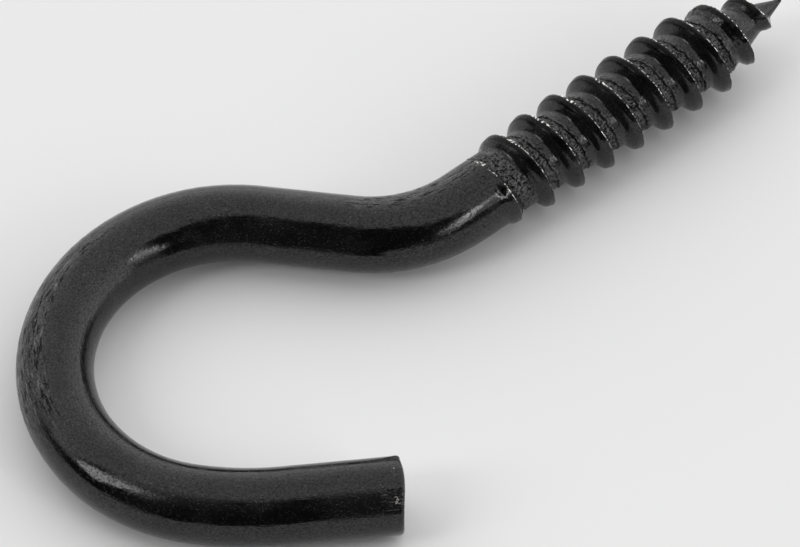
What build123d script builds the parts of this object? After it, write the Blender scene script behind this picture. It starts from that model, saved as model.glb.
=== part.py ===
from build123d import *
from math import asin, atan, cos, degrees, radians, sin, tan
import os

# A screw hook bent and rolled from one length of round steel wire, in millimetres.
# It is drawn with the middle of its bow at the origin, the bends flat in the XY plane and
# the threaded shank along +X, and then laid down as it comes to rest on a table.

# Wire and bends, measured on the wire's middle line
wire_diameter = 5.0
bow_radius = 11.1
bow_turn = 178.2
lower_bend_radius = 21.0
lower_bend_turn = 15.9
free_leg_length = 7.45
free_end_chamfer = 0.25
neck_radius = 9.35
neck_turn = 47.2

# Rolled thread, with its crest standing out past the wire
overall_length = 60.0
pitch = 2.5
crest_diameter = 6.1
root_diameter = 4.6
crest_flat = 0.28
hook_side_flank = 0.52
tip_side_flank = 0.27
ridge_foot_depth = 0.3
ridge_clearance = 0.3
ridge_run_in_start = 21.1
ridge_run_in_end = 23.6
ridge_run_in_depth = 0.1
resting_crest = 24.97
turns_before_resting_crest = 2

# The groove between the crests, which sinks into the wire over its first part of a turn and
# leaves the wire's end as a helical edge
wire_end = 23.4
groove_start_turn = 95
groove_sinking_turn = 150
groove_full_turn = 255
groove_overlap_turn = 4
groove_start_rise = 0.06
groove_depth_under_root = 0.12
groove_wall_past_crest = 0.22
groove_wall_before_crest = 0.2

# Gimlet point
point_length = 6.25
point_rounding = 0.1
ridge_fade_start = 2.4
ridge_fade_end = 1.1

wire_radius = wire_diameter / 2
crest_radius = crest_diameter / 2
root_radius = root_diameter / 2
ridge_height = crest_radius - root_radius
first_crest = resting_crest - turns_before_resting_crest * pitch
point_angle = atan(root_radius / point_length)

# The middle line of the shank runs through the middle of the bow. That sets the straight
# stretch of the neck and the place where the shank begins.
turn = radians(neck_turn)
neck_straight = (bow_radius * cos(turn) - neck_radius * (1 - cos(turn))) / sin(turn)
shank_start = (bow_radius + neck_radius) * sin(turn) + neck_straight * cos(turn)
tip = overall_length - bow_radius - wire_radius
sharp_tip = tip + point_rounding / sin(point_angle) - point_rounding
point_start = sharp_tip - point_length


def bent_wire():
    """The round wire from inside the thread, round the neck and bow, to its cut end."""
    shank = Line((wire_end, 0), (shank_start, 0))
    neck = JernArc(shank @ 1, shank % 1, neck_radius, -neck_turn)
    slope = Line(neck @ 1, neck @ 1 + neck_straight * (neck % 1))
    bow = JernArc(slope @ 1, slope % 1, bow_radius, bow_turn)
    lower_bend = JernArc(bow @ 1, bow % 1, lower_bend_radius, lower_bend_turn)
    free_leg = Line(lower_bend @ 1, lower_bend @ 1 + free_leg_length * (lower_bend % 1))
    runs = [shank, neck, slope, bow, lower_bend, free_leg]
    middle_line = Wire([run.edge() for run in runs])
    section = Plane(origin=middle_line @ 0, z_dir=middle_line % 0) * Circle(wire_radius)
    wire = sweep(section, path=middle_line)
    cut_face = wire.faces().sort_by_distance(free_leg @ 1)[0]
    return chamfer(cut_face.edges(), free_end_chamfer)


def turned(points):
    """A solid turned about the Z axis from (radius, height) points."""
    return revolve(make_face(Plane.XZ * Polyline(*points, close=True)), axis=Axis.Z)


def core():
    """The shank inside the thread, which ends in a slightly blunt cone."""
    nose_middle = sharp_tip - point_rounding / sin(point_angle)
    cone_end = nose_middle + point_rounding * sin(point_angle)
    cone_end_radius = point_rounding * cos(point_angle)
    nose = Pos(0, 0, nose_middle) * Sphere(point_rounding)
    blank = turned(
        [
            (0, shank_start),
            (root_radius, shank_start),
            (root_radius, point_start),
            (cone_end_radius, cone_end),
            (0, cone_end),
        ]
    )
    return blank + nose


def ridge_section():
    """Steep towards the tip, sloping towards the hook, with its foot sunk in the core."""
    foot = root_radius - ridge_foot_depth
    foot_share = (ridge_height + ridge_foot_depth) / ridge_height
    hook_side = -crest_flat / 2 - hook_side_flank * foot_share
    tip_side = crest_flat / 2 + tip_side_flank * foot_share
    corners = [
        (foot, hook_side),
        (crest_radius, -crest_flat / 2),
        (crest_radius, crest_flat / 2),
        (foot, tip_side),
    ]
    return make_face(Plane.XZ * Polyline(*corners, close=True))


def ridge():
    """The thread's ridge: a right-hand helix along the core, then winding in on the cone."""
    straight_length = point_start - first_crest
    winding_in_length = point_length - ridge_fade_end
    straight_helix = Helix(pitch, straight_length, root_radius)
    tapered_helix = Helix(
        pitch / cos(point_angle), winding_in_length, root_radius, cone_angle=-degrees(point_angle)
    )
    straight = sweep(ridge_section(), path=straight_helix, is_frenet=True)
    tapered = sweep(ridge_section(), path=tapered_helix, is_frenet=True)
    half_way = Pos(0, 0, straight_length) * Rot(Z=360 * straight_length / pitch)
    return Pos(0, 0, first_crest) * (straight + half_way * tapered)


def ridge_limits():
    """The room that the ridge fills: it grows out of the wire and dies out near the tip."""
    clear_radius = crest_radius + ridge_clearance
    sunk_radius = wire_radius - ridge_run_in_depth
    growth = (ridge_run_in_end - ridge_run_in_start) / (crest_radius - sunk_radius)
    fade_start_radius = ridge_fade_start * tan(point_angle) + ridge_height
    fade = (ridge_fade_start - ridge_fade_end) / fade_start_radius
    return turned(
        [
            (0, ridge_run_in_start),
            (sunk_radius, ridge_run_in_start),
            (clear_radius, ridge_run_in_start + growth * (clear_radius - sunk_radius)),
            (clear_radius, sharp_tip - ridge_fade_start - fade * (clear_radius - fade_start_radius)),
            (0, sharp_tip - ridge_fade_end),
        ]
    )


def groove_section():
    """The room between two turns of the ridge, with walls that stay inside them."""
    floor = root_radius - groove_depth_under_root
    rim = crest_radius + ridge_clearance
    near_wall = groove_wall_past_crest
    far_wall = pitch - groove_wall_before_crest
    corners = [(floor, near_wall), (rim, near_wall), (rim, far_wall), (floor, far_wall)]
    return make_face(Plane.XZ * Polyline(*corners, close=True))


def turned_along_crest(solid, turn_from_first_crest):
    """Moves a solid that starts at the first crest round and along the thread."""
    along = pitch * turn_from_first_crest / 360
    return Pos(0, 0, first_crest + along) * Rot(Z=turn_from_first_crest) * solid


def groove():
    """The start of the groove: a turn that sinks into the wire, then keeps its depth."""
    floor = root_radius - groove_depth_under_root
    rise = wire_radius + groove_start_rise - floor
    sinking_length = pitch * groove_sinking_turn / 360
    sinking_angle = atan(rise / sinking_length)
    sinking_helix = Helix(
        pitch / cos(sinking_angle),
        sinking_length,
        root_radius + rise,
        cone_angle=-degrees(sinking_angle),
    )
    full_length = pitch * (groove_full_turn + groove_overlap_turn) / 360
    full_helix = Helix(pitch, full_length, root_radius)
    sinking = sweep(Pos(rise, 0, 0) * groove_section(), path=sinking_helix, is_frenet=True)
    full = sweep(groove_section(), path=full_helix, is_frenet=True)
    full_start_turn = groove_start_turn + groove_sinking_turn - groove_overlap_turn
    return [
        turned_along_crest(sinking, groove_start_turn),
        turned_along_crest(full, full_start_turn),
    ]


def laid_down(hook):
    """It lies on the far end of the bow and on the first full crest of the thread."""
    lift = asin((crest_radius - wire_radius) / (resting_crest + bow_radius))
    lying = Rot(Y=-degrees(lift)) * hook
    box = lying.bounding_box()
    return Pos(-box.center().X, -box.center().Y, -box.min.Z) * lying


threaded_shank = core() + (ridge() & ridge_limits())
grooved_wire = bent_wire()
for run_in in groove():
    grooved_wire -= Rot(Y=90) * run_in
screw_hook = laid_down(grooved_wire + Rot(Y=90) * threaded_shank)

os.makedirs("parts", exist_ok=True)
export_step(screw_hook, "parts/screw_hook.step")
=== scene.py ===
import math

import bpy
import numpy as np
from mathutils import Matrix, Vector, noise


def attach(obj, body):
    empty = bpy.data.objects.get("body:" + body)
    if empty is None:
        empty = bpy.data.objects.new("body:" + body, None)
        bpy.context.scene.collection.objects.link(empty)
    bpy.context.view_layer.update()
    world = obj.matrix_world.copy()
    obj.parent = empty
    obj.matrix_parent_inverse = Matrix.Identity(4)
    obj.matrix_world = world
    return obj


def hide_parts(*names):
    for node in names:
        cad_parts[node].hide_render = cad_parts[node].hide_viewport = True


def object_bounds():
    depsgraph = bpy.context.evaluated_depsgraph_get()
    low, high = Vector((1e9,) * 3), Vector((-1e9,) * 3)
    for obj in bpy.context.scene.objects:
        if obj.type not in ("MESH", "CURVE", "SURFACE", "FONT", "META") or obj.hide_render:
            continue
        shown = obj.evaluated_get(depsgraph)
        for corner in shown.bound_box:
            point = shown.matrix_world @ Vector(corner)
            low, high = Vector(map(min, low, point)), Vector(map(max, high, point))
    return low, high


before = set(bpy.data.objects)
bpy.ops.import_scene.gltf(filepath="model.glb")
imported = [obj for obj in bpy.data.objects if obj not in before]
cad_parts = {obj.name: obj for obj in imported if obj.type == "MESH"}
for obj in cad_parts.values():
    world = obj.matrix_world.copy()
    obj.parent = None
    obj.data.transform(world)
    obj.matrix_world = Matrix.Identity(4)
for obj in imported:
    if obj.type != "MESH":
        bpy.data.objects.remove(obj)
cad_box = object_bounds()

# A black painted screw hook, drawn as one skin whose rows follow the crest of its thread.
# It is drawn in millimetres, with the middle of its bow at the origin, its bends flat in the
# XY plane and its shank along +X, and is then laid where the frame's solid lies.
# A place on its surface is given by its place along the straightened wire, an angle round it
# and a radius. The angle is 0 on the outside of the bow and 90 degrees on top.
# On the thread a place is also given by the degrees that the crest has turned when it gets
# there, and by the distance across from that crest towards the tip.
# Soft spots are given as (middle, half width), and soft steps as (start, end).
MM = 0.001

# Wire and bends, measured on the wire's middle line
wire_radius = 2.5
bow_radius = 11.1
bow_turn = math.radians(178.2)
lower_bend_radius = 21.0
lower_bend_turn = math.radians(15.9)
free_leg_length = 7.45
neck_radius = 9.35
neck_turn = math.radians(47.2)
neck_reach = bow_radius * math.cos(neck_turn) - neck_radius * (1 - math.cos(neck_turn))
neck_straight = neck_reach / math.sin(neck_turn)
shank_start = (bow_radius + neck_radius) * math.sin(neck_turn) + neck_straight * math.cos(neck_turn)

# Sideways drift of the shank, by place along it
shank_drift = [(14.0, 0.0), (20.0, 0.05), (25.0, 0.09), (36.0, 0.12)]

# Cut end: the rings of its face, its rounded rim, and the bulge and burr left by the shears
face_ring_radii = [0.45, 0.9, 1.35, 1.8, 2.1, 2.25]
rim_rounding = 0.25
rim_ring_turns = [30, 60, 90]
cut_set_back = 0.1
bulge_length = 0.27
bulge_angle = (85, 50)
burr_height = 0.09
burr_angle = (131, 5)

# Rolled thread. Its flank towards the hook is given as (distance from the crest, height share).
overall_length = 60.0
pitch = 2.5
root_radius = 2.31
crest_corner = 0.02
tip_side_flank = 0.46
tip_side_hollow = 0.35
hook_side_flank = [
    (-0.87, 0.0),
    (-0.77, 0.09),
    (-0.67, 0.28),
    (-0.56, 0.51),
    (-0.46, 0.70),
    (-0.36, 0.85),
    (0.0, 1.0),
]

# The crest stands at front_crest along the shank when it comes round to front_angle, in the
# middle of the side that the camera sees
front_angle = 121.0
front_crest = 21.5

# The degrees turned over which the groove sinks from the wire's surface to the root
groove_sinking = (10.0, 140.0)

# Radius of the crest by degrees turned: it leaves the wire's end as a low edge and grows
crest_growth = [
    (31, 2.5),
    (121, 2.56),
    (211, 2.74),
    (240, 2.84),
    (391, 2.98),
    (480, 3.06),
    (1300, 3.13),
    (2600, 3.16),
]

# The hook lies on the far end of its bow and on this crest
resting_crest = 24.97
resting_crest_radius = 3.05

# Gimlet point, with the height of the ridge above the cone by place along it
point_length = 6.25
point_rounding = 0.1
tip = overall_length - bow_radius - wire_radius
point_angle = math.atan(root_radius / point_length)
sharp_tip = tip + point_rounding / math.sin(point_angle) - point_rounding
point_start = sharp_tip - point_length
ridge_on_point = [
    (39.6, 0.85),
    (40.875, 0.62),
    (42.1, 0.88),
    (43.4, 0.76),
    (44.6, 0.45),
    (45.6, 0.0),
]

# A noise is given as its layers (height, size, seed), and each seed shifts it by this much
seed_shift = (3.1, 7.7, 1.3)

# Pitted strip behind each crest
strip_start = (0.3, 0.46)
strip_end_blur = 0.04
strip_drop = 0.06
strip_pits = [(0.035, 0.36, 11), (0.035, 0.2, 12)]

# The crack where the strip's lap meets the smooth land: its distance across by degrees turned,
# the noise that opens and closes it, and the torn edge beyond it
crack_across = [(31, 0.3), (120, 0.26), (170, 0.35), (211, 0.6), (391, 0.95)]
crack_half_width = 0.032
crack_depth = 0.15
crack_least_share = 0.35
crack_opening_noise = [(1.0, 0.5, 13)]
crack_opening = (-0.4, 0.1)
torn_edge_past_crack = 0.12
torn_edge_half_width = 0.08
torn_edge_height = 0.02
torn_edge_noise = [(0.06, 0.25, 14)]

# Wavering of the crack's line and of the crest's line
crack_wander = [(0.11, 1.1, 31), (0.08, 0.4, 32), (0.05, 0.2, 33)]
crack_wander_reach = 0.3
crest_ripple = [(0.035, 0.35, 34)]
crest_ripple_reach = 0.16

# Waves of drawn and bent wire, which set in away from the middle of the cut face, a nick
# where the neck ends, and a rough start of the cone
wire_waves = [(0.010, 2.4, 21), (0.004, 0.9, 22)]
relief_from_middle = (0.3, 1.5)
nick_along = (21.15, 0.22)
nick_angle = (129, 10)
nick_depth = 0.035
nick_noise = [(1.0, 0.3, 25)]
rough_cone_along = (40.3, 0.8)
rough_cone_noise = [(0.05, 0.45, 23), (0.05, 0.22, 24)]

# Where the rolled strip's rough finish starts and ends. The whole of the first land has it.
rolled_start_turn = (-50, 0)
rolled_end_along = (40.6, 41.6)
first_land_end_turn = (211, 391)
lap_start = (0.02, 0.1)
lap_end_past_crack = (0.1, 0.35)

# Worn paint along the crest, with a painted glint: it is bare most near the top and on the front side,
# where the highlight falls, and less so on the far turns
wear_start_turn = (0, 40)
far_turns = (1200, 1500)
wear_half_width = 0.1
glint_extra_width = 0.1
glint_extra_width_far = 0.03
glint_wide_angle = (82, 14)
wear_least = 0.84
glint_extra = 0.6
glint_extra_far = 0.2
glint_top_angle = (80, 17)
glint_extra_front = 0.16
glint_front_angle = (125, 26)

# Painted shade: the paint's shine is cut on the leaning brow of the flank below the next crest, part of
# the way round, for a painted dark reflection, and round the nick for a painted shadow
brow_before_crest = 0.25
brow_half_width = 0.22
brow_start_turn = (-60, 20)
brow_end_angle = (125, 150)
painted_shade_nick_along = (21.2, 0.3)
painted_shade_nick_angle = (127, 13)
painted_shade_nick_share = 0.9
painted_shade_nick_noise = [(1.0, 0.25, 26)]

# Mesh steps. Across one pitch they are given as (where a stretch ends, its columns). Vertices
# of the rows that would lie nearer to the plain wire than seam_snap join its last ring.
steps_round = 168
degrees_per_step = 360 / steps_round
wire_step = 0.8
thread_grid_start = 20.2
seam_snap = 0.02
thread_stretches = [
    (crest_corner, 1),
    (0.46, 8),
    (0.84, 8),
    (1.06, 8),
    (1.3, 4),
    (1.6, 2),
    (pitch - 0.37, 10),
    (pitch - 0.35, 1),
    (pitch, 3),
]


def wire_pieces():
    """Length and turn of each piece of the wire, from the shank back to the cut end."""
    return [
        (neck_radius * neck_turn, -neck_turn),
        (neck_straight, 0.0),
        (bow_radius * bow_turn, bow_turn),
        (lower_bend_radius * lower_bend_turn, lower_bend_turn),
        (free_leg_length, 0.0),
    ]


wire_length = sum(length for length, turn in wire_pieces())
cut_end = shank_start - wire_length


def along_piece(run, heading, length, turn):
    """The step and the heading after a run along an arc, or a straight piece with no turn."""
    turned = turn * run / length
    chord = run * np.sinc(turned / (2 * math.pi))
    chord_heading = heading + turned / 2
    step = np.stack([chord * np.cos(chord_heading), chord * np.sin(chord_heading)], -1)
    return step, heading + turned


def middle_line(along):
    """Point and heading of the middle line at each place along the wire."""
    place = np.array([shank_start, 0.0])
    heading = math.pi
    back = shank_start - along
    points = place + np.outer(along - shank_start, (1.0, 0.0))
    headings = np.full(len(along), heading)
    done = 0.0
    for length, turn in wire_pieces():
        here = back > done
        step, turned = along_piece(back[here] - done, heading, length, turn)
        points[here] = place + step
        headings[here] = turned
        step, heading = along_piece(length, heading, length, turn)
        place = place + step
        done += length
    return points, headings + math.pi


def bent(along, angle, radius):
    """Points on the bent hook from places on the straightened wire."""
    points, headings = middle_line(along)
    outward = np.stack([-np.sin(headings), np.cos(headings)], 1)
    drift = between(along, shank_drift)
    side = points + outward * (radius * np.cos(angle) + drift)[:, None]
    return np.column_stack([side, radius * np.sin(angle)])


def straightened(along, angle, radius):
    """The same places on the wire before it was bent."""
    return np.column_stack([along, radius * np.cos(angle), radius * np.sin(angle)])


def smooth_step(value, low, high):
    """From 0 at low to 1 at high, with soft ends."""
    share = np.clip((value - low) / (high - low), 0, 1)
    return share * share * (3 - 2 * share)


def hump(value, middle, half_width):
    """A soft hump of height 1 around a middle value."""
    return np.exp(-(((value - middle) / half_width) ** 2))


def between(value, knots):
    """Straight lines between (value, result) knots."""
    return np.interp(value, [knot[0] for knot in knots], [knot[1] for knot in knots])


def lumps(points, layers):
    """Smooth noise around 0, with lumps about as large as each layer's size."""
    total = np.zeros(len(points))
    for height, size, seed in layers:
        shift = Vector([part * seed for part in seed_shift])
        values = [noise.noise(Vector(point) / size + shift) for point in points.tolist()]
        total += height * np.array(values)
    return total


def crest_place(turned_by):
    """Where the crest stands along the shank, when it has turned by so many degrees."""
    return front_crest + pitch * (turned_by - front_angle) / 360


def crest_turn(place):
    """Degrees by which the crest has turned when it stands at a place along the shank."""
    return front_angle + 360 * (place - front_crest) / pitch


def core_radius(place):
    """The shank inside the thread, and its slightly blunt cone."""
    nose_middle = sharp_tip - point_rounding / math.sin(point_angle)
    cone = np.minimum((sharp_tip - place) * math.tan(point_angle), root_radius)
    into_nose = np.clip(place - nose_middle, 0, point_rounding)
    nose = np.sqrt(point_rounding**2 - into_nose**2)
    cone_end = nose_middle + point_rounding * math.sin(point_angle)
    return np.where(place < cone_end, cone, nose)


def crest_height(turned_by):
    """Radius of the crest: it leaves the wire as an edge, grows, and dies out on the point."""
    place = crest_place(turned_by)
    on_point = core_radius(place) + between(place, ridge_on_point)
    return np.minimum(between(turned_by, crest_growth), on_point)


def groove_radius(place, turned_by):
    """Radius between the crests: the wire's own at first, then the root's, then the point's."""
    sinking = smooth_step(turned_by, *groove_sinking)
    run_in = wire_radius + (root_radius - wire_radius) * sinking
    return np.where(place < point_start, run_in, core_radius(place))


def flank(share, hollow):
    """A flank from 0 at its foot to 1 at the crest, with a hollow at its foot."""
    share = np.clip(share, 0, 1)
    curve = np.where(share < hollow, share**2 / (2 * hollow), share - hollow / 2)
    return curve / (1 - hollow / 2)


def thread_radius(along, turned_by, across):
    """Radius of the threaded shank without its small relief."""
    base = groove_radius(along, turned_by)
    down = flank((crest_corner + tip_side_flank - across) / tip_side_flank, tip_side_hollow)
    up = between(across - pitch, hook_side_flank)
    this_crest = crest_height(turned_by) - base
    next_crest = crest_height(turned_by + 360) - base
    return base + np.maximum(this_crest, 0) * down + np.maximum(next_crest, 0) * up


def lap_relief(across, turned_by, straight):
    """Height of the pits, the crack and the torn edge behind the crest."""
    crack_place = between(turned_by, crack_across)
    strip_end = (crack_place - strip_end_blur, crack_place + strip_end_blur)
    strip = smooth_step(across, *strip_start) * (1 - smooth_step(across, *strip_end))
    opening = smooth_step(lumps(straight, crack_opening_noise), *crack_opening)
    open_share = crack_least_share + (1 - crack_least_share) * opening
    crack = crack_depth * hump(across, crack_place, crack_half_width) * open_share
    torn_edge = hump(across, crack_place + torn_edge_past_crack, torn_edge_half_width)
    torn_height = torn_edge_height + lumps(straight, torn_edge_noise)
    pits = lumps(straight, strip_pits)
    return strip * (pits - strip_drop) - crack + torn_edge * torn_height


def wire_relief(straight, along, angle):
    """The slow waves of drawn and bent wire, the nick, and the rough start of the cone."""
    facing = np.degrees(angle) % 360
    nick = hump(along, *nick_along) * hump(facing, *nick_angle)
    nick = nick_depth * nick * (1 + lumps(straight, nick_noise))
    rough_cone = hump(along, *rough_cone_along) * lumps(straight, rough_cone_noise)
    return lumps(straight, wire_waves) - nick + rough_cone


def rolled(along, turned_by):
    """1 on the thread, where the rolling has left its pitted strip, and 0 elsewhere."""
    started = smooth_step(turned_by, *rolled_start_turn)
    return started * (1 - smooth_step(along, *rolled_end_along))


def lap_finish(across, turned_by):
    """1 from the crest to just past the crack, or all over the first land."""
    first_land = 1 - smooth_step(turned_by, *first_land_end_turn)
    past_crack = across - between(turned_by, crack_across) - first_land
    return smooth_step(across, *lap_start) * (1 - smooth_step(past_crack, *lap_end_past_crack))


def crest_wear_and_glint(across, turned_by):
    """How much of the paint is rubbed off along this crest and the next, more near the top and front as a
    painted glint.
    """
    facing = turned_by % 360
    far = smooth_step(turned_by, *far_turns)
    # Painted glint: the bare strip is wider and fuller near the top and on the front side, where the
    # highlight falls
    extra_width = glint_extra_width + (glint_extra_width_far - glint_extra_width) * far
    half_width = wear_half_width + extra_width * hump(facing, *glint_wide_angle)
    this_crest = hump(across, crest_corner, half_width)
    next_crest = hump(across, pitch + crest_corner, half_width)
    extra = glint_extra + (glint_extra_far - glint_extra) * far
    wear_and_glint = wear_least + extra * hump(facing, *glint_top_angle)
    wear_and_glint = wear_and_glint + glint_extra_front * hump(facing, *glint_front_angle)
    return (this_crest + next_crest) * wear_and_glint * smooth_step(turned_by, *wear_start_turn)


def painted_shade_amount(along, across, turned_by, straight):
    """Painted shade: 1 on the brow of the flank on its upper side, and round the nick, where the shine is
    cut for a dark reflection and for the nick's shadow.
    """
    facing = turned_by % 360
    brow = hump(across, pitch - brow_before_crest, brow_half_width)
    brow = brow * (1 - smooth_step(facing, *brow_end_angle))
    brow = brow * smooth_step(turned_by, *brow_start_turn)
    nick = hump(along, *painted_shade_nick_along) * hump(facing, *painted_shade_nick_angle)
    nick = nick * (painted_shade_nick_share + lumps(straight, painted_shade_nick_noise))
    return np.maximum(brow, nick)


def thread_columns():
    """Places across one pitch from crest to crest, closest where the form turns sharply."""
    columns = []
    start = 0.0
    for end, count in thread_stretches:
        columns.append(np.linspace(start, end, count, endpoint=False))
        start = end
    return np.concatenate(columns)


def wavering(turned_by, across):
    """Shifts along the shank that make the lines of the crests and of the crack ragged."""
    row_turn = turned_by[:, 0]
    helix = straightened(crest_place(row_turn), np.radians(row_turn), root_radius)
    wander = lumps(helix, crack_wander)
    ripple = lumps(helix, crest_ripple)
    next_ripple = np.append(ripple[steps_round:], np.zeros(steps_round))
    at_crack = hump(across, between(turned_by, crack_across), crack_wander_reach)
    at_crest = hump(across, 0, crest_ripple_reach)
    at_next_crest = hump(across, pitch, crest_ripple_reach)
    shift = at_crack * wander[:, None]
    shift += at_crest * ripple[:, None]
    shift += at_next_crest * next_ripple[:, None]
    return shift


def thread_rows():
    """Degrees that the crest has turned at the start of each row of the thread."""
    first_turn = crest_turn(thread_grid_start - pitch)
    count = math.ceil((crest_turn(tip) - first_turn) / degrees_per_step) + 1
    return first_turn + degrees_per_step * np.arange(count)


def thread_grid():
    """Places along, degrees turned and distances across, in rows that follow the crest."""
    turned_by, across = np.meshgrid(thread_rows(), thread_columns(), indexing="ij")
    along = crest_place(turned_by) + across + wavering(turned_by, across)
    return along, turned_by, across


class Skin:
    """Vertices and faces of the hook, gathered from its parts."""

    def __init__(self):
        self.blocks = []
        self.count = 0
        self.faces = []

    def add(self, along, angle, radius, lap=0.0, crest=0.0, painted_shade=0.0):
        """Adds a block of vertices, and returns their numbers in the block's shape."""
        values = np.broadcast_arrays(along, angle, radius, lap, crest, painted_shade)
        self.blocks.append(np.stack([value.ravel() for value in values]))
        numbers = self.count + np.arange(values[0].size).reshape(values[0].shape)
        self.count += values[0].size
        return numbers

    def values(self):
        """Along, angle, radius, lap, crest and painted shade, each for all vertices."""
        return np.concatenate(self.blocks, axis=1)


def add_rings(skin, rings):
    """Quads between rings of vertices, each ring running once round."""
    for ring, following in zip(rings[:-1], rings[1:]):
        skin.faces.extend(zip(ring, following, np.roll(following, -1), np.roll(ring, -1)))


def add_wire(skin, angles):
    """The cut end and the plain wire up to the thread's rows. Returns its last ring."""
    facing = np.degrees(angles) % 360
    around_top = (facing + 90) % 360 - 90
    cut = cut_end + cut_set_back - bulge_length * hump(around_top, *bulge_angle)
    face = skin.add(cut, angles, np.array(face_ring_radii)[:, None])

    rim_turns = np.radians(rim_ring_turns)[:, None]
    rim_depth = rim_rounding * (1 - np.cos(rim_turns))
    rim_radius = wire_radius - rim_rounding * (1 - np.sin(rim_turns))
    burr = burr_height * hump(facing, *burr_angle)
    rim = skin.add(cut + rim_depth, angles, rim_radius + burr)

    rim_end = cut_end + rim_rounding
    count = int((thread_grid_start - rim_end) / wire_step)
    places = np.linspace(rim_end, thread_grid_start, count + 1)[1:]
    body = skin.add(places[:, None], angles, wire_radius)

    add_rings(skin, np.vstack([face, rim, body]))
    middle = skin.add(np.array([cut_end]), 0.0, 0.0)[0]
    for here, after in zip(face[0], np.roll(face[0], -1)):
        skin.faces.append((middle, here, after))
    return body[-1]


def add_thread_vertices(skin, along, turned_by, across):
    """Vertices of the thread, with their relief, their finish and their painted shade."""
    angle = np.radians(turned_by)
    radius = thread_radius(along, turned_by, across)
    straight = straightened(along, angle, radius)
    on_thread = rolled(along, turned_by)
    relief = on_thread * lap_relief(across, turned_by, straight)
    lap = on_thread * lap_finish(across, turned_by)
    crest = crest_wear_and_glint(across, turned_by)
    painted_shade = painted_shade_amount(along, across, turned_by, straight)
    return skin.add(along, angle, radius + relief, lap, crest, painted_shade)


def add_thread(skin, last_ring):
    """The rows that follow the crest, from the plain wire's last ring to the tip."""
    along, turned_by, across = thread_grid()
    rows, columns = along.shape
    apex = skin.add(np.array([tip]), 0.0, 0.0)[0]
    numbers = np.full(along.shape, apex)
    on_wire = along <= thread_grid_start + seam_snap
    row_number = np.repeat(np.arange(rows)[:, None], columns, 1)
    numbers[on_wire] = last_ring[row_number[on_wire] % steps_round]
    on_shank = ~on_wire & (along < tip)
    place = (along[on_shank], turned_by[on_shank], across[on_shank])
    numbers[on_shank] = add_thread_vertices(skin, *place)

    next_crest = np.vstack([numbers[steps_round:, :1], np.full((steps_round, 1), apex)])
    numbers = np.hstack([numbers, next_crest])
    for row, following in zip(numbers[:-1], numbers[1:]):
        for corners in zip(row[:-1], row[1:], following[1:], following[:-1]):
            different = tuple(dict.fromkeys(corners))
            if len(different) > 2:
                skin.faces.append(different)


# How far the shank is turned up, so that the hook lies on its bow and its resting crest
lift = math.asin((resting_crest_radius - wire_radius) / (resting_crest + bow_radius))
lying_turn = np.array(Matrix.Rotation(-lift, 3, "Y"))


def lay_down(points):
    """From the drawing's millimetres to metres where the frame's solid lies."""
    low, high = cad_box
    bow_middle = (
        low[0] / MM + bow_radius * math.cos(lift) + wire_radius,
        high[1] / MM - bow_radius - wire_radius,
        bow_radius * math.sin(lift) + wire_radius,
    )
    return (points @ lying_turn.T + bow_middle) * MM


def add_attribute(mesh, name, values):
    """A number or a vector for each vertex, which the paint can read."""
    kind = "FLOAT_VECTOR" if values.ndim == 2 else "FLOAT"
    attribute = mesh.attributes.new(name, kind, "POINT")
    attribute.data.foreach_set("vector" if values.ndim == 2 else "value", values.ravel())


def add_hook():
    """The whole hook as one mesh."""
    skin = Skin()
    angles = np.radians(thread_rows()[:steps_round])
    last_ring = add_wire(skin, angles)
    add_thread(skin, last_ring)
    along, angle, radius, lap, crest, painted_shade = skin.values()
    straight = straightened(along, angle, radius)
    relief = wire_relief(straight, along, angle) * smooth_step(radius, *relief_from_middle)
    points = lay_down(bent(along, angle, radius + relief))
    faces = [[int(number) for number in face] for face in skin.faces]
    mesh = bpy.data.meshes.new("screw_hook_finish")
    mesh.from_pydata(points.tolist(), [], faces)
    add_attribute(mesh, "straight", straight)
    add_attribute(mesh, "lap", lap)
    add_attribute(mesh, "crest", crest)
    # The painted shade on the brow and round the nick
    add_attribute(mesh, "painted_shade", painted_shade)
    mesh.shade_smooth()
    hook = bpy.data.objects.new("screw_hook_finish", mesh)
    bpy.context.scene.collection.objects.link(hook)
    return hook


# Camera, in the drawing's millimetres and degrees
camera_elevation = math.radians(53.54)
camera_azimuth = math.radians(-35.53)
camera_roll = math.radians(-3.29)
camera_distance = 363.6
camera_target = np.array([12.78, -1.49, 0.0])
lens_length = 253.6
sensor_width = 36.0


def direction(azimuth, elevation):
    """Unit vector towards an azimuth and elevation in degrees."""
    azimuth = math.radians(azimuth)
    elevation = math.radians(elevation)
    level = math.cos(elevation)
    return Vector((math.cos(azimuth) * level, math.sin(azimuth) * level, math.sin(elevation)))


def camera_axes():
    """The camera's right, up and back directions in the drawing."""
    away = math.cos(camera_elevation)
    back_x = math.sin(camera_azimuth) * away
    back_y = -math.cos(camera_azimuth) * away
    back = np.array([back_x, back_y, math.sin(camera_elevation)])
    level = np.array([math.cos(camera_azimuth), math.sin(camera_azimuth), 0.0])
    upright = np.cross(back, level)
    right = math.cos(camera_roll) * level + math.sin(camera_roll) * upright
    up = -math.sin(camera_roll) * level + math.cos(camera_roll) * upright
    return right, up, back


def add_camera():
    """A camera that sees the hook as the photo does."""
    right, up, back = camera_axes()
    place = lay_down(camera_target + camera_distance * back)
    axes = lying_turn @ np.column_stack([right, up, back])
    data = bpy.data.cameras.new("camera")
    data.lens = lens_length
    data.sensor_width = sensor_width
    data.clip_start = 0.01
    data.clip_end = 20.0
    camera = bpy.data.objects.new("camera", data)
    camera.matrix_world = Matrix.Translation(place) @ Matrix(axes.tolist()).to_4x4()
    bpy.context.scene.collection.objects.link(camera)
    bpy.context.scene.camera = camera


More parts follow.
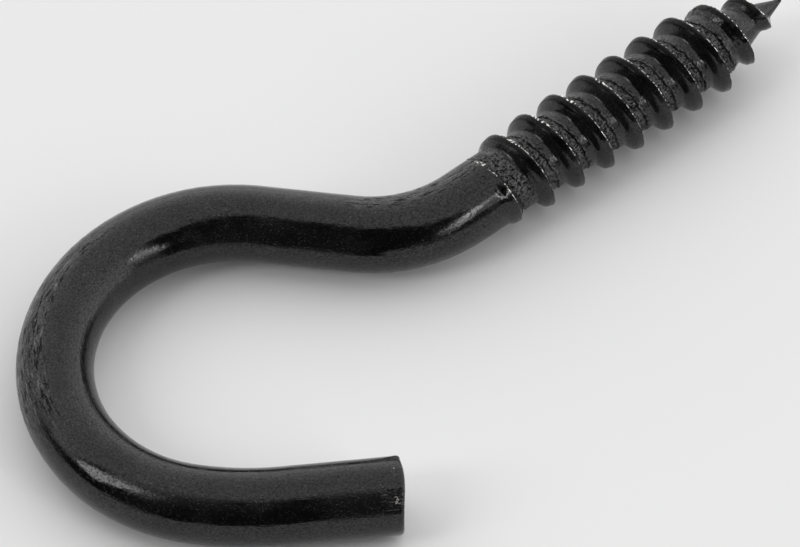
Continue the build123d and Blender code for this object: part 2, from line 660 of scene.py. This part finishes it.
class Nodes:
    """Short ways to add and join shader nodes in one tree."""

    def __init__(self, tree):
        self.tree = tree

    def add(self, kind, **settings):
        node = self.tree.nodes.new(kind)
        for name, value in settings.items():
            setattr(node, name, value)
        return node

    def join(self, source, target):
        """Links an output to an input, or gives the input a plain value."""
        if hasattr(source, "links"):
            self.tree.links.new(source, target)
        else:
            target.default_value = source

    def math(self, operation, first, second=0.0, third=0.0):
        node = self.add("ShaderNodeMath", operation=operation)
        for slot, value in enumerate((first, second, third)):
            self.join(value, node.inputs[slot])
        return node.outputs[0]

    def product(self, first, second):
        return self.math("MULTIPLY", first, second)

    def largest(self, first, *others):
        for other in others:
            first = self.math("MAXIMUM", first, other)
        return first

    def ramp(self, value, low, high, start=0.0, end=1.0):
        """From start at low to end at high, with soft ends."""
        node = self.add("ShaderNodeMapRange", interpolation_type="SMOOTHSTEP")
        names = ("Value", "From Min", "From Max", "To Min", "To Max")
        for name, source in zip(names, (value, low, high, start, end)):
            self.join(source, node.inputs[name])
        return node.outputs["Result"]

    def mix(self, share, first, second):
        """The first value where the share is 0, and the second where it is 1."""
        node = self.add("ShaderNodeMix", data_type="FLOAT")
        for slot, value in zip((0, 2, 3), (share, first, second)):
            self.join(value, node.inputs[slot])
        return node.outputs[0]

    def attribute(self, name, output="Fac"):
        return self.add("ShaderNodeAttribute", attribute_name=name).outputs[output]

    def facing(self, coordinates, towards):
        """How far the coordinates reach in one direction."""
        node = self.add("ShaderNodeVectorMath", operation="DOT_PRODUCT")
        self.join(coordinates, node.inputs[0])
        node.inputs[1].default_value = towards
        return node.outputs["Value"]

    def noise(self, coordinates, size, detail=2.0, stretch=(1, 1, 1), roughness=0.5):
        """Noise from 0 to 1 with grains of a size, longer where the stretch is under 1."""
        scale = self.add("ShaderNodeVectorMath", operation="MULTIPLY")
        self.join(coordinates, scale.inputs[0])
        scale.inputs[1].default_value = [part / size for part in stretch]
        node = self.add("ShaderNodeTexNoise")
        self.join(scale.outputs[0], node.inputs["Vector"])
        node.inputs["Scale"].default_value = 1.0
        node.inputs["Detail"].default_value = detail
        node.inputs["Roughness"].default_value = roughness
        return node.outputs["Fac"]


# Spots on the wire's paint, as (along, reach, angle, angle to each side)
scuffs = [(17.0, 7.0, 48, 40), (-12.0, 9.0, 40, 45), (cut_end + 0.6, 0.9, 52, 20)]
chips = [(cut_end + 0.4, 0.2, 49, 6), (cut_end + 0.45, 0.15, 97, 3)]
uneven_shank = (17.0, 8.0, 105, 80)
spot_full_share = 0.6

# Share of the pits and specks that show on smooth and on rough paint, and how uneven the
# shine is elsewhere and on the shank
pit_share = (0.35, 0.8)
speck_share = (0.3, 1.0)
gloss_unevenness = (0.3, 0.65)

# Relief of the paint in millimetres
smooth_grain_height = 0.003
rough_grain_height = 0.014
lap_grain_height = 0.06
peel_height = 0.010
drawn_line_height = 0.005
pit_depth = 0.012
lap_pit_depth = 0.08
scratch_depth = 0.07

# Tones, gloss and roughness of the paint, the specks in it and the bare steel. The gloss of
# the grain and of the lap is given as (least, most).
smooth_paint_tone = 0.002
rough_paint_tone = 0.006
speck_tone = 0.05
scuffed_speck_tone = 0.09
steel_tone = 0.85
warm_tint = (1.0, 0.97, 0.95)
grain_gloss = (0.32, 0.68)
least_grain_gloss = 0.1
lap_gloss = (0.42, 1.2)
# Shine left in pits and scratches, where it is cut as painted shade
hollow_shade_gloss = 0.06
# Shine left on the brow and round the nick, where it is cut as painted shade
painted_shade_gloss_share = 0.25
smooth_paint_roughness = 0.10
rough_paint_roughness = 0.2
lap_roughness = 0.3
steel_roughness = 0.3
paint_ior = 1.46


def surface_spot(nodes, straight, along, reach, angle, side_angle):
    """From 1 in the middle of a place on the wire to 0 at its reach and its side angle."""
    place = nodes.facing(straight, (1, 0, 0))
    away = nodes.math("ABSOLUTE", nodes.math("SUBTRACT", place, along))
    towards = (0, math.cos(math.radians(angle)), math.sin(math.radians(angle)))
    edge = wire_radius * math.cos(math.radians(side_angle))
    round_wire = nodes.ramp(nodes.facing(straight, towards), edge, 0.5 * (edge + wire_radius))
    return nodes.product(nodes.ramp(away, reach, spot_full_share * reach), round_wire)


class PaintMarks:
    """Where the paint is lapped, scuffed, rough, scratched, pitted, speckled or rubbed off, with bare
    steel along the crests that is partly a painted glint.
    """

    def __init__(self, nodes):
        straight = nodes.attribute("straight", "Vector")
        self.straight = straight
        self.lap = nodes.attribute("lap")
        self.fine = nodes.noise(straight, size=0.15, detail=3.0, roughness=0.6)
        self.speckle = nodes.noise(straight, size=0.11, stretch=(0.7, 1, 1))
        self.scuffed = nodes.largest(*[surface_spot(nodes, straight, *spot) for spot in scuffs])
        patches = nodes.noise(straight, size=2.2, detail=4.0, stretch=(0.6, 1, 1))
        self.roughened = nodes.largest(nodes.ramp(patches, low=0.4, high=0.62), self.scuffed)
        self.add_scratches(nodes)
        self.add_pits_and_specks(nodes)
        self.add_wear(nodes)

    def add_scratches(self, nodes):
        """Long scratches in the scuffed places, some deep and some pale."""
        long = (0.22, 1, 1)
        lines = nodes.noise(self.straight, size=0.2, detail=3.0, stretch=long, roughness=0.6)
        deep = nodes.ramp(lines, low=0.45, high=0.39)
        pale = nodes.ramp(lines, low=0.58, high=0.66)
        self.scratches = nodes.product(deep, self.scuffed)
        self.pale_scratches = nodes.product(pale, self.scuffed)

    def add_pits_and_specks(self, nodes):
        """Pits and pale specks, most in the roughened places, and close pits in the lap."""
        pits = nodes.ramp(self.speckle, low=0.38, high=0.32)
        specks = nodes.ramp(self.speckle, low=0.62, high=0.72)
        self.pits = nodes.product(pits, nodes.mix(self.roughened, *pit_share))
        self.specks = nodes.product(specks, nodes.mix(self.roughened, *speck_share))
        coarse = nodes.noise(self.straight, size=0.26, roughness=0.6)
        large_pits = nodes.ramp(coarse, low=0.40, high=0.37)
        small_pits = nodes.ramp(self.speckle, low=0.41, high=0.37)
        self.lap_pits = nodes.product(nodes.largest(large_pits, small_pits), self.lap)

    def add_wear(self, nodes):
        """Bare steel in specks along the crests, partly a painted glint, and in the chips at the cut end.
        """
        crest = nodes.ramp(nodes.attribute("crest"), low=0.72, high=0.95)
        chipped = [surface_spot(nodes, self.straight, *chip) for chip in chips]
        bareness = nodes.ramp(nodes.noise(self.straight, size=0.2), low=0.50, high=0.57)
        self.worn_and_glint = nodes.product(nodes.largest(crest, *chipped), bareness)


def paint_normal(nodes, marks):
    """Grain, orange peel and drawn lines stand up; pits and scratches are sunk."""
    peel = nodes.noise(marks.straight, size=0.55)
    drawn = nodes.noise(marks.straight, size=0.12, stretch=(0.1, 1, 1))
    layers = [
        (marks.fine, nodes.mix(marks.roughened, smooth_grain_height, rough_grain_height)),
        (peel, peel_height),
        (drawn, drawn_line_height),
        (marks.pits, -pit_depth),
        (marks.scratches, -scratch_depth),
        (nodes.product(marks.fine, marks.lap), lap_grain_height),
        (marks.lap_pits, -lap_pit_depth),
    ]
    height = 0.0
    for pattern, amount in layers:
        height = nodes.math("MULTIPLY_ADD", pattern, amount, height)
    bump = nodes.add("ShaderNodeBump")
    bump.inputs["Strength"].default_value = 1.0
    bump.inputs["Distance"].default_value = MM
    nodes.join(height, bump.inputs["Height"])
    return bump.outputs["Normal"]


def paint_gloss(nodes, marks):
    """Uneven shine, which is cut as painted shade in pits and scratches, on the brow and round the nick.
    """
    fine = nodes.noise(marks.straight, size=0.13, detail=3.0, roughness=0.65)
    grain = nodes.ramp(fine, 0.3, 0.7, *grain_gloss)
    on_shank = surface_spot(nodes, marks.straight, *uneven_shank)
    around_middle = nodes.math("SUBTRACT", marks.speckle, 0.5)
    unevenness = nodes.product(around_middle, nodes.mix(on_shank, *gloss_unevenness))
    grain = nodes.largest(nodes.math("ADD", grain, unevenness), least_grain_gloss)
    on_lap = nodes.ramp(marks.speckle, 0.4, 0.62, *lap_gloss)
    # Painted shade: pits, lapped pits and scratches lose most of their shine, so they show dark as if
    # shaded
    hollows = nodes.largest(marks.pits, marks.lap_pits, marks.scratches)
    gloss = nodes.mix(hollows, nodes.mix(marks.lap, grain, on_lap), hollow_shade_gloss)
    # Painted shade: the shine is cut on the brow's dark band and in the nick's shadow
    painted_shade = nodes.attribute("painted_shade")
    shine_left = nodes.ramp(painted_shade, low=0.3, high=0.8, start=1.0, end=painted_shade_gloss_share)
    return nodes.product(gloss, shine_left)


def paint_color(nodes, marks):
    """Nearly black paint with paler specks and scratches, and bare steel where it is rubbed off, which
    along the crests is partly a painted glint.
    """
    specks = nodes.largest(marks.specks, marks.pale_scratches)
    paint_tone = nodes.mix(marks.roughened, smooth_paint_tone, rough_paint_tone)
    pale_tone = nodes.mix(marks.scuffed, speck_tone, scuffed_speck_tone)
    tone = nodes.mix(marks.worn_and_glint, nodes.mix(specks, paint_tone, pale_tone), steel_tone)
    color = nodes.add("ShaderNodeCombineColor")
    for slot, share in enumerate(warm_tint):
        nodes.join(nodes.product(tone, share), color.inputs[slot])
    return color.outputs[0]


def paint_roughness(nodes, marks):
    """Smooth paint, rougher patches, the rough lap and the bare steel."""
    paint = nodes.mix(marks.roughened, smooth_paint_roughness, rough_paint_roughness)
    painted = nodes.mix(marks.lap, paint, lap_roughness)
    return nodes.mix(marks.worn_and_glint, painted, steel_roughness)


def black_paint():
    """Semi-gloss black paint over steel."""
    material = bpy.data.materials.new("black_paint")
    material.use_nodes = True
    nodes = Nodes(material.node_tree)
    shader = material.node_tree.nodes["Principled BSDF"]
    marks = PaintMarks(nodes)
    nodes.join(paint_color(nodes, marks), shader.inputs["Base Color"])
    nodes.join(paint_roughness(nodes, marks), shader.inputs["Roughness"])
    nodes.join(paint_gloss(nodes, marks), shader.inputs["Specular IOR Level"])
    nodes.join(paint_normal(nodes, marks), shader.inputs["Normal"])
    nodes.join(marks.worn_and_glint, shader.inputs["Metallic"])
    shader.inputs["IOR"].default_value = paint_ior
    return material


# Floor, in metres
floor_half_size = 1.5
floor_tone = 0.88


def add_floor():
    """A plain pale floor that keeps the hook's shadow."""
    size = floor_half_size
    corners = [(-size, -size, 0), (size, -size, 0), (size, size, 0), (-size, size, 0)]
    mesh = bpy.data.meshes.new("floor")
    mesh.from_pydata(corners, [], [(0, 1, 2, 3)])
    floor = bpy.data.objects.new("floor", mesh)
    bpy.context.scene.collection.objects.link(floor)
    material = bpy.data.materials.new("floor")
    material.use_nodes = True
    shader = material.node_tree.nodes["Principled BSDF"]
    shader.inputs["Base Color"].default_value = (floor_tone, floor_tone, floor_tone, 1)
    shader.inputs["Roughness"].default_value = 1.0
    shader.inputs["Specular IOR Level"].default_value = 0.0
    floor.data.materials.append(material)


# Studio: patches as (azimuth, elevation, outer angle, inner angle), and sides as (azimuth,
# low, high), which fade in as a direction's share towards the azimuth goes from low to high
wall_and_ceiling_heights = (0.3, 0.95)
wall_and_ceiling_tones = (1.32, 0.98)
bright_patches = [((-42, 8, 45, 10), 0.2), ((105, 24, 24, 8), 0.22)]
dim_patch = (128, -2, 38, 14)
dim_tone = 0.75
side_under_lamps = (-146, 0.08, 0.22)
height_under_lamps = (0.33, 0.27)
tone_under_lamps = 0.12
camera_patch = (-92, 40, 19, 15)
room_sides = [(-150, 0.245, 0.31), (-120, -0.05, 0.05)]
dark_tone = 0.03


def studio_patch(nodes, coordinates, azimuth, elevation, outer, inner):
    """A round patch of the studio, from 0 at its outer angle to 1 at its inner one."""
    share = nodes.facing(coordinates, direction(azimuth, elevation))
    return nodes.ramp(share, math.cos(math.radians(outer)), math.cos(math.radians(inner)))


def studio_side(nodes, coordinates, azimuth, low, high):
    """All that lies towards one side."""
    return nodes.ramp(nodes.facing(coordinates, direction(azimuth, 0)), low, high)


def studio_tone(nodes):
    """Pale walls and ceiling, darker under the lamps, and dark round the camera."""
    coordinates = nodes.add("ShaderNodeTexCoord").outputs["Generated"]
    height = nodes.facing(coordinates, (0, 0, 1))
    tone = nodes.ramp(height, *wall_and_ceiling_heights, *wall_and_ceiling_tones)
    for patch, extra in bright_patches:
        tone = nodes.math("MULTIPLY_ADD", studio_patch(nodes, coordinates, *patch), extra, tone)
    tone = nodes.mix(studio_patch(nodes, coordinates, *dim_patch), tone, dim_tone)
    under_lamps = studio_side(nodes, coordinates, *side_under_lamps)
    under_lamps = nodes.product(under_lamps, nodes.ramp(height, *height_under_lamps))
    tone = nodes.mix(under_lamps, tone, tone_under_lamps)
    tone = nodes.mix(studio_patch(nodes, coordinates, *camera_patch), tone, dark_tone)
    first_side, second_side = [studio_side(nodes, coordinates, *side) for side in room_sides]
    return nodes.mix(nodes.product(first_side, second_side), tone, dark_tone)


def add_world():
    """A pale studio all round, with a dark side where the camera stands."""
    world = bpy.data.worlds.new("studio")
    bpy.context.scene.world = world
    world.use_nodes = True
    background = world.node_tree.nodes["Background"]
    background.inputs["Color"].default_value = (1, 1, 1, 1)
    nodes = Nodes(world.node_tree)
    nodes.join(studio_tone(nodes), background.inputs["Strength"])


def add_softbox(name, azimuth, elevation, tilt, width, height, radiance):
    """A lamp one metre away that faces the hook, with its long side tilted from level."""
    data = bpy.data.lights.new(name, "AREA")
    data.shape = "RECTANGLE"
    data.size = width
    data.size_y = height
    data.energy = radiance * math.pi * width * height
    lamp = bpy.data.objects.new(name, data)
    towards = direction(azimuth, elevation)
    turn = towards.to_track_quat("Z", "Y").to_matrix() @ Matrix.Rotation(math.radians(tilt), 3, "Z")
    lamp.matrix_world = Matrix.Translation(towards) @ turn.to_4x4()
    bpy.context.scene.collection.objects.link(lamp)


bpy.context.scene.view_settings.view_transform = "Standard"
add_camera()
hook = add_hook()
hook.data.materials.append(black_paint())
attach(hook, "root")
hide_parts("screw_hook")
add_floor()
add_world()
add_softbox("left_softbox", azimuth=166, elevation=38, tilt=-21, width=0.25, height=0.62, radiance=4.3)
add_softbox("right_softbox", azimuth=-77.5, elevation=27.5, tilt=44, width=0.5, height=0.13, radiance=6.2)
